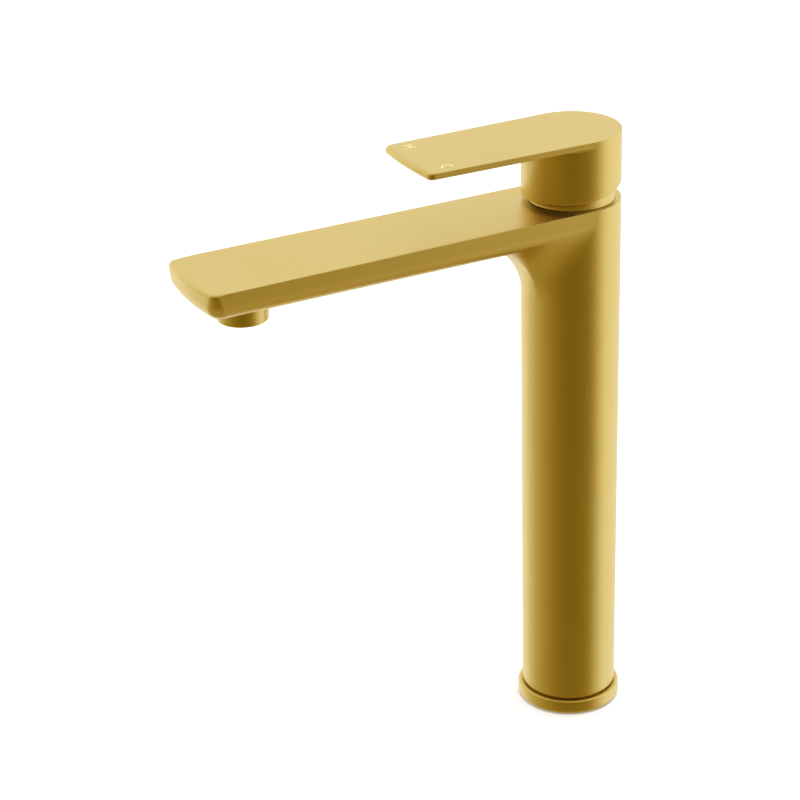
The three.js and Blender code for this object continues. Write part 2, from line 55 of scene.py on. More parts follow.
def box_mm(node):
    low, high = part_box(node)
    return np.array(low) / MM, np.array(high) / MM


BODY_LOW, BODY_HIGH = box_mm("body")
HANDLE_LOW, HANDLE_HIGH = box_mm("handle")
RING_HIGH = box_mm("base_ring")[1]
DOME_LOW, DOME_HIGH = box_mm("dome_cover")
AERATOR_LOW, AERATOR_HIGH = box_mm("aerator_housing")
GRID_LOW, GRID_HIGH = box_mm("aerator_grid")
PLUG_LOW, PLUG_HIGH = box_mm("screw_plug")
DECK_Z = box_mm("cartridge_base")[0][2]
PIVOT_Z = frame["joints"][0]["pos_m"][2] / MM


# ---- Fields: functions of points that are negative inside a solid -----------------------------

FAR = 1e3  # a distance beyond anything in the model


def gradient(field, points, step=0.001):
    slopes = [field(points + axis) - field(points - axis) for axis in np.eye(3) * step]
    slope = np.stack(slopes, axis=1)
    return slope / np.maximum(np.linalg.norm(slope, axis=1, keepdims=True), 1e-12)


def round_off(a, b, radius):
    """What two solids share, with the edge between their faces rounded off."""
    edge = np.hypot(np.maximum(a + radius, 0), np.maximum(b + radius, 0))
    return np.minimum(np.maximum(a, b), -radius) + edge


def ease(value, start, end):
    """A smooth step from 0 at start to 1 at end."""
    t = np.clip((value - start) / (end - start), 0, 1)
    return t * t * (3 - 2 * t)


def headings(outline):
    """Unit directions from the axis to the points of an outline."""
    return outline / np.hypot(*outline.T)[:, None]


class Tongue:
    """A round barrel that carries a flat tongue along -Y: the body with its spout, or the handle.

    barrel is the barrel's radius as a function of z, widening how much each side of the tongue
    opens out for each millimetre forward, and sweep the radius of a ball that is rolled along the
    corner between the barrel and the tongue's underside, to fill it.
    """

    inset = 0.97  # share of the way out from the axis at which the walls' first ring lies
    nose_length = 9.0  # the outline's points are closer together in this last part of the tongue

    def __init__(self, top, tip, thickness, barrel, widening, bow, corner, lower_corner,
                 fall, sweep, lower_round, side_edge, nose_edge, nose_blend):
        self.top, self.tip, self.thickness = top, tip, thickness
        self.barrel, self.widening = barrel, widening
        self.corner, self.lower_corner = corner, lower_corner
        self.fall, self.sweep, self.lower_round = fall, sweep, lower_round
        self.side_edge, self.nose_edge, self.nose_blend = side_edge, nose_edge, nose_blend
        half = barrel(top) + widening * tip
        self.bow, self.bow_radius = bow, (half**2 + bow**2) / (2 * bow)
        self.underside = top - thickness

    def plan(self, points):
        """Distance outside the outline seen from above."""
        x, forward, z = np.abs(points[:, 0]), -points[:, 1], points[:, 2]
        radius = self.barrel(z)
        side = x - radius - self.widening * forward
        front = np.hypot(x, forward - self.tip + self.bow_radius) - self.bow_radius
        depth = np.clip((self.top - z) / self.thickness, 0, 1)
        corner = self.corner + (self.lower_corner - self.corner) * depth
        tongue = round_off(side, front, corner)
        return np.where(forward > 0, tongue, np.hypot(x, forward) - radius)

    def ball_at(self, turn):
        """Centre of the rolled ball where it is turned that far from straight ahead, and the
        directions from there to the barrel and to the tongue."""
        reach = self.barrel(self.underside) + self.sweep
        across = reach * np.sin(turn)
        side = self.barrel(self.underside) + self.widening * reach * np.cos(turn)
        over = np.maximum(across - side + self.lower_round, 0)
        span = self.sweep + self.lower_round
        drop = np.sqrt(np.maximum(span**2 - over**2, 0.01))
        height = self.underside + self.lower_round - drop
        centre = np.column_stack([across, -reach * np.cos(turn), height])
        to_barrel = np.column_stack([-np.sin(turn), np.cos(turn), 0 * turn])
        to_tongue = np.column_stack([-over, 0 * turn, drop]) / span
        return centre, to_barrel, to_tongue

    def off_square(self, points, turn, step=1e-4):
        """0 where the way from the ball's centre to the point is square to the ball's path."""
        ahead, behind = self.ball_at(turn + step)[0], self.ball_at(turn - step)[0]
        return ((points - (ahead + behind) / 2) * (ahead - behind)).sum(1) / (2 * step)

    def rolled(self, points, halvings=18):
        """Distance outside the fillet that the ball leaves, or FAR where it leaves none."""
        outside = np.full(len(points), FAR)
        near = (points[:, 1] < 0) & (points[:, 2] < self.underside + self.lower_round)
        near &= np.hypot(points[:, 0], points[:, 1]) < self.barrel(self.underside) + self.sweep
        spots = points[near] * 1.0
        spots[:, 0] = np.abs(spots[:, 0])
        low, high = np.zeros(len(spots)), np.full(len(spots), math.pi / 2)
        for _ in range(halvings):
            middle = (low + high) / 2
            further = self.off_square(spots, middle) > 0
            low, high = np.where(further, middle, low), np.where(further, high, middle)
        centre, to_barrel, to_tongue = self.ball_at((low + high) / 2)
        way = spots - centre
        shared = (to_barrel * to_tongue).sum(1)
        at_barrel, at_tongue = (way * to_barrel).sum(1), (way * to_tongue).sum(1)
        between = (at_barrel > shared * at_tongue) & (at_tongue > shared * at_barrel)
        outside[near] = np.where(between, self.sweep - np.linalg.norm(way, axis=1), FAR)
        return outside

    def edge_at(self, points):
        """Radius of the top edge: crisp along the sides and softer round the nose."""
        share = ease(-points[:, 1], self.tip - self.nose_blend, self.tip - 1)
        return self.side_edge + (self.nose_edge - self.side_edge) * share

    def top_at(self, points):
        return self.top - self.fall * np.maximum(-points[:, 1], 0)

    def skin(self, points):
        barrel = np.hypot(points[:, 0], points[:, 1]) - self.barrel(points[:, 2])
        tongue = round_off(self.plan(points), self.underside - points[:, 2], self.lower_round)
        sides = np.minimum(np.minimum(barrel, tongue), self.rolled(points))
        return round_off(sides, points[:, 2] - self.top_at(points), self.edge_at(points))

    def settle(self, points, rounds=6):
        """Moves points onto the skin."""
        for _ in range(rounds):
            points = points - gradient(self.skin, points) * self.skin(points)[:, None]
        return points

    def outline(self, rear_steps, side_steps, reach_steps, nose_steps, rounds=12):
        """Points of the outline seen from above, anticlockwise from +X through the rear."""
        radius, nose = self.barrel(self.top), self.tip - self.nose_length
        rear = np.linspace(0, math.pi, rear_steps, endpoint=False)
        points = [(radius * math.cos(a), radius * math.sin(a)) for a in rear]
        bend = math.radians(58)  # up to here the sides are divided by angle, then by length
        forward = [radius * math.tan(a) for a in np.linspace(0, bend, side_steps, endpoint=False)]
        forward += list(np.linspace(radius * math.tan(bend), nose, reach_steps, endpoint=False))
        forward += list(np.linspace(nose, self.tip - self.bow, nose_steps, endpoint=False))
        left = [(-radius - self.widening * f, -f) for f in forward]
        half = radius + self.widening * self.tip
        front = [(x, -self.tip + x * x / (2 * self.bow_radius))
                 for x in half * np.sin(np.linspace(-math.pi / 2, math.pi / 2, 4 * nose_steps))]
        points += left + front + [(-x, y) for x, y in reversed(left[1:])]
        upper = self.top - self.thickness * 0.2  # where the plan's corners are still almost square
        flat = np.array([(x, y, upper) for x, y in points])
        for _ in range(rounds):
            flat[:, :2] -= (gradient(self.plan, flat) * self.plan(flat)[:, None])[:, :2]
        return flat[:, :2]

    def way_down(self, spot, steps, arc_steps=20):
        """From just inside a point of the outline, over the edge and round the fillet, to the foot
        of the sweep, with square corners."""
        reach = math.hypot(*spot)
        heading = math.atan2(abs(spot[0]), -spot[1])
        foot = self.barrel(self.underside), self.underside - self.sweep
        top = self.top_at(np.array([[*spot, 0]]))[0]
        path = [(reach * self.inset, top), (reach, top)]
        ball_z = self.ball_at(np.array([min(heading, math.pi / 2)]))[0][0, 2]
        overhang = min(max(reach - foot[0], 0), self.sweep)
        most = math.acos(1 - overhang / self.sweep)
        if reach > foot[0] + self.sweep:
            path.append((reach, self.underside))
        path += [(foot[0] + self.sweep * (1 - math.cos(a)), ball_z + self.sweep * math.sin(a))
                 for a in np.linspace(most, 0, arc_steps)]
        path = np.array(path + [foot])
        lengths = np.concatenate([[0], np.cumsum(np.hypot(*np.diff(path, axis=0).T))])
        marks = np.linspace(0, lengths[-1], steps)
        out_at, z_at = np.interp(marks, lengths, path[:, 0]), np.interp(marks, lengths, path[:, 1])
        return np.column_stack([spot[0] / reach * out_at, spot[1] / reach * out_at, z_at])

    def spread(self, line, normals, count, length=5.0, angle=math.radians(7)):
        """That many points along a line, close together where the skin under it turns."""
        steps = np.linalg.norm(np.diff(line, axis=0), axis=1)
        turns = np.arccos(np.clip((normals[1:] * normals[:-1]).sum(1), -1, 1))
        crowd = np.concatenate([[0], np.cumsum(steps / length + turns / angle)])
        marks = np.linspace(0, crowd[-1], count)
        return np.column_stack([np.interp(marks, crowd, line[:, axis]) for axis in range(3)])

    def wall_rings(self, outline, count, steps=160):
        """Rings from the top edge down to the foot of the sweep, settled on the skin."""
        lines = self.settle(np.concatenate([self.way_down(spot, steps) for spot in outline]))
        normals = gradient(self.skin, lines).reshape(len(outline), steps, 3)
        lines = lines.reshape(len(outline), steps, 3)
        spread = [self.spread(line, normal, count) for line, normal in zip(lines, normals)]
        rings = np.array(spread).transpose(1, 0, 2).reshape(-1, 3)
        return self.settle(rings).reshape(count, len(outline), 3)

    def top_rings(self, outline, hole, insets):
        """Rings on the flat top, from a round hole out to each share of the way to the edge."""
        rings = []
        start = headings(outline) * hole
        for share in insets:
            spots = start * (1 - share) + outline * share
            ring = np.column_stack([spots, np.zeros(len(spots))])
            ring[:, 2] = self.top_at(ring)
            rings.append(ring)
        return np.array(rings)


# ---- Meshes --------------------------------------------------------------------------------


def new_object(name, points, faces):
    mesh = bpy.data.meshes.new(name)
    mesh.from_pydata([tuple(p) for p in np.asarray(points) * MM], [], faces)
    mesh.validate()
    made = bpy.data.objects.new(name, mesh)
    bpy.context.scene.collection.objects.link(made)
    mesh.shade_smooth()
    return made


def skin_rings(name, rings, closed_start=True, closed_end=True):
    """A solid through closed rings of as many points each."""
    count = len(rings[0])
    faces = []
    for lower in range(len(rings) - 1):
        for i in range(count):
            j = (i + 1) % count
            a, b = lower * count, (lower + 1) * count
            faces.append((a + i, b + i, b + j, a + j))
    points = np.concatenate(rings)
    if closed_start:
        faces.append(tuple(range(count)))
    if closed_end:
        last = (len(rings) - 1) * count
        faces.append(tuple(last + i for i in reversed(range(count))))
    return new_object(name, points, faces)


def shade_by_field(made, field, nearness=0.02, agreement=0.7):
    """Gives the corners that lie on a field's surface that field's own normals, where these agree
    with the face's normal: the cosine between the two is above the agreement."""
    mesh = made.data
    mesh.set_sharp_from_angle(angle=math.radians(35))
    spots = np.empty(len(mesh.vertices) * 3)
    mesh.vertices.foreach_get("co", spots)
    spots = spots.reshape(-1, 3) / MM
    slope = gradient(field, spots)
    close = np.abs(field(spots)) < nearness
    corner_vertex = np.empty(len(mesh.loops), int)
    mesh.loops.foreach_get("vertex_index", corner_vertex)
    corner_face = np.repeat(np.arange(len(mesh.polygons)), [p.loop_total for p in mesh.polygons])
    flat = np.array([p.normal for p in mesh.polygons])[corner_face]
    normals = np.array([n.vector for n in mesh.corner_normals])
    wanted = slope[corner_vertex]
    use = close[corner_vertex] & ((wanted * flat).sum(1) > agreement)
    normals[use] = wanted[use]
    mesh.normals_split_custom_set(normals.tolist())


def shade_by_angle(made, angle=38):
    made.data.set_sharp_from_angle(angle=math.radians(angle))
    weighted = made.modifiers.new("weighted normals", "WEIGHTED_NORMAL")
    weighted.keep_sharp = True


def arc(centre, radius, start, end, steps):
    """Points (r, z) along an arc, from one angle to another in degrees."""
    angles = np.radians(np.linspace(start, end, steps + 1))
    return [(centre[0] + radius * math.cos(a), centre[1] + radius * math.sin(a)) for a in angles]


def soften(corners, steps=5):
    """An outline through (r, z, radius) corners, each turned by an arc of its radius."""
    points = []
    for before, here, after in zip(corners[-1:] + corners[:-1], corners, corners[1:] + corners[:1]):
        spot, radius = Vector(here[:2]), here[2]
        to_before = (Vector(before[:2]) - spot).normalized()
        to_after = (Vector(after[:2]) - spot).normalized()
        if radius == 0:
            points.append(tuple(spot))
            continue
        half = to_before.angle(to_after) / 2
        centre = spot + (to_before + to_after).normalized() * radius / math.sin(half)
        start = (spot + to_before * radius / math.tan(half) - centre).normalized()
        end = (spot + to_after * radius / math.tan(half) - centre).normalized()
        points += [tuple(centre + start.slerp(end, i / steps) * radius) for i in range(steps + 1)]
    return points


def lathe(name, outline, sides=128):
    """A solid of revolution about +Z from a closed (r, z) outline."""
    angles = np.linspace(0, 2 * math.pi, sides, endpoint=False)
    rings = [[(r * math.cos(a), r * math.sin(a), z) for a in angles] for r, z in outline]
    count = len(rings)
    faces = []
    for lower in range(count):
        upper = (lower + 1) % count
        for i in range(sides):
            j = (i + 1) % sides
            faces.append((lower * sides + i, lower * sides + j, upper * sides + j, upper * sides + i))
    made = new_object(name, np.concatenate(rings), faces)
    tidy_faces(made)
    shade_by_angle(made)
    return made


def tidy_faces(made):
    """Merges points that coincide on the axis and points every face outwards."""
    mesh = bmesh.new()
    mesh.from_mesh(made.data)
    bmesh.ops.remove_doubles(mesh, verts=mesh.verts, dist=1e-7)
    bmesh.ops.recalc_face_normals(mesh, faces=mesh.faces)
    mesh.to_mesh(made.data)
    mesh.free()


def place(made, x=0, y=0, z=0):
    made.data.transform(Matrix.Translation(Vector((x, y, z)) * MM))
    return made


def point_back(made, y, z):
    """Turns a piece that was made along +Z to point along +Y, and places it."""
    made.data.transform(Matrix.Rotation(math.radians(-90), 4, "X"))
    return place(made, y=y, z=z)


def cut_away(made, tool):
    """Takes the tool's solid out of a piece, and removes the tool."""
    cutting = made.modifiers.new("cut", "BOOLEAN")
    cutting.operation, cutting.solver, cutting.object = "DIFFERENCE", "EXACT", tool
    shape = made.evaluated_get(bpy.context.evaluated_depsgraph_get())
    mesh = bpy.data.meshes.new_from_object(shape)
    made.modifiers.remove(cutting)
    made.data = mesh
    bpy.data.objects.remove(tool)


def finish_piece(made, material, body, slot, *stands_for):
    made.data.materials.clear()
    made.data.materials.append(material)
    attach(made, body)
    if stands_for:
        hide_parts(*stands_for)
    return made


# ---- Materials -----------------------------------------------------------------------------


class Nodes:
    """Adds nodes to a tree. An input that is given as another node's output is linked to it."""

    def __init__(self, tree):
        self.tree = tree
        tree.nodes.clear()

    def add(self, kind, inputs=None, **settings):
        node = self.tree.nodes.new("ShaderNode" + kind)
        for key, value in settings.items():
            setattr(node, key, value)
        for key, value in (inputs or {}).items():
            if isinstance(value, bpy.types.NodeSocket):
                self.tree.links.new(value, node.inputs[key])
            else:
                node.inputs[key].default_value = value
        return node

    def place(self, stretch=(1, 1, 1)):
        """Coordinates that stay with the piece, closer together along an axis by its factor."""
        where = self.add("TexCoord").outputs["Object"]
        return self.add("Mapping", {"Vector": where, "Scale": stretch}).outputs["Vector"]

    def noise(self, scale, detail, stretch=(1, 1, 1)):
        inputs = {"Vector": self.place(stretch), "Scale": scale, "Detail": detail}
        return self.add("TexNoise", inputs).outputs["Fac"]

    def remap(self, value, low, high, from_low=0.3, from_high=0.7):
        inputs = {"Value": value, "From Min": from_low, "From Max": from_high,
                  "To Min": low, "To Max": high}
        return self.add("MapRange", inputs).outputs["Result"]

    def mix(self, share, first, second):
        inputs = {"Factor": share, "A": first, "B": second}
        node = self.add("Mix", data_type="RGBA")
        sockets = {"Factor": 0, "A": 6, "B": 7}
        for key, value in inputs.items():
            socket = node.inputs[sockets[key]]
            if isinstance(value, bpy.types.NodeSocket):
                self.tree.links.new(value, socket)
            else:
                socket.default_value = value
        return node.outputs[2]

    def bump(self, height, distance, strength, under=None):
        inputs = {"Height": height, "Distance": distance, "Strength": strength}
        if under is not None:
            inputs["Normal"] = under
        return self.add("Bump", inputs).outputs["Normal"]

    def surface(self, **inputs):
        names = {key.replace("_", " "): value for key, value in inputs.items()}
        shader = self.add("BsdfPrincipled", names)
        self.add("OutputMaterial", {"Surface": shader.outputs["BSDF"]})


def new_material(name):
    material = bpy.data.materials.new(name)
    material.use_nodes = True
    return material, Nodes(material.node_tree)


def gold_material(name, brush=(1, 1, 1), roughness=(0.30, 0.36)):
    """Satin gold plating: fine brushing along the low-scale axis, and slow changes of tone."""
    material, nodes = new_material(name)
    tone = nodes.remap(nodes.noise(16, 3), 0, 1)
    color = nodes.mix(tone, (0.80, 0.630, 0.205, 1), (0.785, 0.610, 0.190, 1))
    hairs = nodes.noise(900, 3, brush)
    grain = nodes.noise(5200, 2)
    gloss = nodes.remap(hairs, *roughness)
    relief = nodes.bump(hairs, 0.000012, 0.35)
    relief = nodes.bump(grain, 0.000010, 0.30, relief)
    nodes.surface(Base_Color=color, Metallic=1.0, Roughness=gloss, Normal=relief)
    return material


def metal_material(name, light, dark, roughness, scale, stretch):
    """Plain metal with marks that run along the axis of the lowest stretch."""
    material, nodes = new_material(name)
    marks = nodes.noise(scale, 4, stretch)
    color = nodes.mix(nodes.remap(marks, 0, 1), (*light, 1), (*dark, 1))
    gloss = nodes.remap(marks, roughness - 0.06, roughness + 0.08)
    relief = nodes.bump(marks, 0.00004, 0.5)
    nodes.surface(Base_Color=color, Metallic=1.0, Roughness=gloss, Normal=relief)
    return material


def plain_material(name, light, dark, roughness, scale, relief_depth):
    """Moulded plastic, ceramic or rubber: a fine texture and slight changes of tone."""
    material, nodes = new_material(name)
    specks = nodes.noise(scale, 3)
    tone = nodes.noise(30, 2)
    color = nodes.mix(nodes.remap(tone, 0, 1), (*light, 1), (*dark, 1))
    gloss = nodes.remap(specks, roughness - 0.05, roughness + 0.07)
    relief = nodes.bump(specks, relief_depth, 0.5)
    nodes.surface(Base_Color=color, Metallic=0.0, Roughness=gloss, Normal=relief)
    return material


# ---- Pieces --------------------------------------------------------------------------------

COLUMN_RADIUS = BODY_HIGH[1]
FOOT_TAPER = 0.4  # how much slimmer the column is at its foot
HEEL_ROUND = 2.2  # rounding of the column's lower edge, at the foot ring
HEEL_SUNK = 0.2  # how far below the ring's top that rounding ends
SPOUT_HALF = BODY_HIGH[0]
CHAMBER_RADIUS, BORE_RADIUS = 19.6, 20.0  # inside the body: above and below the cartridge's deck
WALL_TOP = 225.0  # top of the room for the tubes
DECK_CLEARANCE = 0.4  # between the body's deck and the cartridge's base
RIM_REAR = 275.7  # height of the cap's rim at the back
CAP_WALL, CAP_ROOF = 2.3, 4.0
LEVER_HALF = 22.4  # half of the lever's width at its tip
PLUG_Z = (PLUG_LOW[2] + PLUG_HIGH[2]) / 2
MARK_HEIGHT = 0.02  # how far the letters on the lever stand proud
PIN_HOLE = 0.5  # radius of the ring of points that closes a flat face on the axis


def column_radius(z):
    return COLUMN_RADIUS - FOOT_TAPER * (1 - np.clip(z / BODY_HIGH[2], 0, 1))


def body_shape():
    tip = -BODY_LOW[1]
    return Tongue(
        top=BODY_HIGH[2], tip=tip, thickness=15, barrel=column_radius,
        widening=(SPOUT_HALF - COLUMN_RADIUS) / tip, bow=2.4, corner=2.5, lower_corner=8,
        fall=0.9 / tip, sweep=33, lower_round=8.6, side_edge=0.35,
        nose_edge=2.0, nose_blend=14)


def round_ring(heading, radius, z):
    return np.column_stack([heading * radius, np.full(len(heading), z)])


def build_body(gold):
    shape = body_shape()
    outline = shape.outline(rear_steps=60, side_steps=16, reach_steps=26, nose_steps=10)
    heading = headings(outline)
    deck = DECK_Z - DECK_CLEARANCE
    inner = (PIN_HOLE, deck), (CHAMBER_RADIUS, deck), (CHAMBER_RADIUS, BODY_HIGH[2] - 1)
    inside = [round_ring(heading, r, z) for r, z in inner]
    top = shape.top_rings(outline, CHAMBER_RADIUS, (0, 0.03, 0.3, 0.5, 0.7))
    walls = shape.wall_rings(outline, 64)
    sweep_foot = shape.underside - shape.sweep
    foot, heel = BODY_LOW[2], RING_HIGH[2] - HEEL_SUNK
    waist = column_radius(heel) - HEEL_ROUND
    drops = [round_ring(heading, column_radius(z), z)
             for z in np.linspace(sweep_foot, heel + HEEL_ROUND, 25)[1:]]
    centre = waist, heel + HEEL_ROUND
    drops += [round_ring(heading, *spot) for spot in arc(centre, HEEL_ROUND, 0, -90, 8)[1:]]
    drops.append(round_ring(heading, waist, foot))
    room = (BORE_RADIUS, foot), (BORE_RADIUS, WALL_TOP), (PIN_HOLE, WALL_TOP)
    under = [round_ring(heading, r, z) for r, z in room]
    body = skin_rings("faucet_body", [*inside, *top, *walls, *drops, *under])
    tidy_faces(body)
    shade_by_field(body, shape.skin)
    return finish_piece(body, gold, "column", "gold", "body")


def handle_shape():
    radius, tip = HANDLE_HIGH[1], -HANDLE_LOW[1]
    return Tongue(
        top=HANDLE_HIGH[2] - MARK_HEIGHT, tip=tip, thickness=3.0,
        barrel=lambda z: np.full_like(z, radius) if np.ndim(z) else radius,
        widening=(LEVER_HALF - radius) / tip, bow=1.2, corner=2.5, lower_corner=2.5,
        fall=0, sweep=1.6, lower_round=0.6, side_edge=0.3,
        nose_edge=1.6, nose_blend=6)


def rim_height(y):
    """The cap's rim rises towards the back, so that the lever can tip up."""
    radius, front = HANDLE_HIGH[1], HANDLE_LOW[2]
    return front + (RIM_REAR - front) * (y + radius) / (2 * radius)


def screw_drill(start_y, length):
    """A round bar along Y, a little wider than the screw cap, for its hole."""
    bore = PLUG_HIGH[0] + 0.1
    drill = lathe("drill", [(0, 0), (bore, 0), (bore, length), (0, length)], 64)
    return point_back(drill, start_y, PLUG_Z)


def build_handle(gold):
    shape = handle_shape()
    outline = shape.outline(rear_steps=60, side_steps=20, reach_steps=14, nose_steps=10)
    heading = headings(outline)
    radius = HANDLE_HIGH[1]
    inner = radius - CAP_WALL
    top = shape.top_rings(outline, PIN_HOLE, (0, 0.25, 0.5, 0.75, 0.92))
    walls = shape.wall_rings(outline, 40)
    start_z = shape.underside - shape.sweep
    edge = 1.2  # rounding of the rim

    def ring(r, lift, share=1.0):
        """A ring at radius r, lift above the rim, or that share of the way down to it."""
        spots = heading * r
        low = rim_height(spots[:, 1]) + lift
        return np.column_stack([spots, start_z + (low - start_z) * share])

    cap = [ring(radius, edge, share) for share in np.linspace(0, 1, 9)[1:]]
    rim = [ring(radius - edge + edge * math.cos(a), edge - edge * math.sin(a))
           for a in np.radians(np.linspace(0, 90, 7)[1:])]
    rim.append(ring(inner, 0))
    ceiling = HANDLE_HIGH[2] - CAP_ROOF
    inside = [round_ring(heading, inner, ceiling), round_ring(heading, PIN_HOLE, ceiling)]
    handle = skin_rings("lever_handle", [*top, *walls, *cap, *rim, *inside])
    tidy_faces(handle)
    cut_away(handle, screw_drill(inner - 1, CAP_WALL + 2))
    shade_by_field(handle, shape.skin)
    return finish_piece(handle, gold, "lever", "gold", "handle")


def build_base_ring(gold):
    """The foot ring: a rim, then a groove beside the column, which goes down to a step inside it."""
    outer, top, step = RING_HIGH[0], RING_HIGH[2], 1.8
    rim_width, groove_depth, gap = 2.8, 1.2, 0.2
    seat, ledge = outer - rim_width, top - groove_depth
    neck = column_radius(top) - HEEL_ROUND + gap
    outline = soften([
        (BORE_RADIUS, 0, 0.2), (outer, 0, 1.9), (outer, top, 1.3), (seat, top, 0.95), (seat, ledge, 0.3),
        (neck, ledge, 0.1), (neck, step, 0.1), (BORE_RADIUS, step, 0.2)])
    return finish_piece(lathe("foot_ring", outline), gold, "column", "gold", "base_ring")


def build_dome(gold):
    outer, wall, low = 22.6, 1.2, DOME_LOW[2]
    opening = math.sqrt(outer**2 - (DOME_HIGH[2] - PIVOT_Z)**2)

    def shell(radius, upwards):
        start = math.degrees(math.asin((low - PIVOT_Z) / radius))
        end = math.degrees(math.acos(opening / radius))
        limits = (start, end) if upwards else (end, start)
        return arc((0, PIVOT_Z), radius, *limits, 14)

    outline = shell(outer, True) + shell(outer - wall, False)
    return finish_piece(lathe("dome", outline), gold, "column", "gold", "dome_cover")


def build_aerator(gold, plastic):
    middle_y = (AERATOR_LOW[1] + AERATOR_HIGH[1]) / 2
    radius, low, high = AERATOR_HIGH[0], AERATOR_LOW[2], AERATOR_HIGH[2]
    lip, bore, thread, lip_height = 8.9, 9.9, 10.9, 1.6
    shoulder = body_shape().underside - 0.3
    outline = soften([
        (lip, low, 0.4), (radius, low, 0.9), (radius, shoulder, 0.2), (thread, shoulder, 0.1),
        (thread, high, 0.3), (bore, high, 0.2), (bore, low + lip_height, 0.1),
        (lip, low + lip_height, 0.2)])
    housing = place(lathe("aerator_ring", outline), y=middle_y)
    finish_piece(housing, gold, "column", "gold", "aerator_housing")
    grid = honeycomb("aerator_honeycomb", GRID_HIGH[0], GRID_LOW[2], GRID_HIGH[2])
    place(grid, y=middle_y)
    finish_piece(grid, plastic, "column", "white_plastic", "aerator_grid")


def from_lowest(face):
    """A face's corners in the same turn, starting at the lowest number."""
    first = face.index(min(face))
    return face[first:] + face[:first]


def honeycomb(name, radius, low, high, pitch=2.5, rib=0.55):
    """A round plate pierced by six-sided holes. The filling gives its faces in any order, so they
    are sorted, to be the same in every run."""
    mesh = bmesh.new()

    def loop(points):
        spots = [mesh.verts.new((x * MM, y * MM, low * MM)) for x, y in points]
        return [mesh.edges.new((a, b)) for a, b in zip(spots, spots[1:] + spots[:1])]

    def circle(x, y, r, sides, start=0.0):
        angles = np.linspace(0, 2 * math.pi, sides, endpoint=False) + start
        return [(x + r * math.cos(a), y + r * math.sin(a)) for a in angles]

    edges = loop(circle(0, 0, radius, 96))
    hole = (pitch - rib) / math.sqrt(3)
    reach = int(radius / pitch) + 1
    for q in range(-reach, reach + 1):
        for r in range(-reach, reach + 1):
            x, y = pitch * (q + r / 2), pitch * r * math.sqrt(3) / 2
            if math.hypot(x, y) < radius - pitch / 2 - rib:
                edges += loop(circle(x, y, hole, 6, math.pi / 6))
    bmesh.ops.triangle_fill(mesh, use_beauty=True, edges=edges)
    plate = bmesh.ops.extrude_face_region(mesh, geom=mesh.faces[:])
    raised = [v for v in plate["geom"] if isinstance(v, bmesh.types.BMVert)]
    bmesh.ops.translate(mesh, verts=raised, vec=(0, 0, (high - low) * MM))
    bmesh.ops.recalc_face_normals(mesh, faces=mesh.faces)
    mesh.verts.index_update()
    points = [corner.co / MM for corner in mesh.verts]
    faces = sorted(from_lowest([corner.index for corner in face.verts]) for face in mesh.faces)
    mesh.free()
    made = new_object(name, points, faces)
    made.data.shade_flat()
    return made


def build_plug(gold):
    radius, length = PLUG_HIGH[0], PLUG_HIGH[1] - PLUG_LOW[1]
    stem, stem_length = 2.5, 3
    outline = soften([
        (0, 0, 0), (stem, 0, 0.2), (stem, stem_length, 0), (radius, stem_length, 0.2),
        (radius, length, 0.4), (0, length, 0)])
    plug = point_back(lathe("screw_cap", outline, 64), PLUG_LOW[1], PLUG_Z)
    return finish_piece(plug, gold, "lever", "gold", "screw_plug")


def stroke(name, path, width, z, height):
    """A flat band along a plan path, for an etched letter."""
    path = np.array(path)
    along = np.gradient(path, axis=0)
    along /= np.linalg.norm(along, axis=1)[:, None]
    across = np.column_stack([-along[:, 1], along[:, 0]]) * width / 2
    rings = []
    for spot, side in zip(path, across):
        left, right = spot + side, spot - side
        rings.append([(*left, z), (*left, z + height), (*right, z + height), (*right, z)])
    return skin_rings(name, rings)


def build_marks(material):
    """H and C on the lever for hot and cold, etched pale into the plating."""
    hot, cold = (-15.4, -76.0), (16.5, -74.0)
    half_width, half_height, line = 1.75, 2.6, 0.5
    sunk = 0.01
    z, height = HANDLE_HIGH[2] - MARK_HEIGHT - sunk, MARK_HEIGHT + sunk
    left, right = hot[0] - half_width, hot[0] + half_width
    low, high = hot[1] - half_height, hot[1] + half_height
    bars = [((left, low), (left, high)), ((right, low), (right, high)), ((left, hot[1]), (right, hot[1]))]
    for index, (start, end) in enumerate(bars):
        mark = stroke(f"hot_mark_{index}", np.linspace(start, end, 4), line, z, height)
        finish_piece(mark, material, "lever", "gold")
    bend = np.radians(np.linspace(50, 310, 25))
    path = [(cold[0] + half_width * math.cos(a), cold[1] + half_height * math.sin(a)) for a in bend]
    mark = stroke("cold_mark", path, line, z, height)
    finish_piece(mark, material, "lever", "gold")


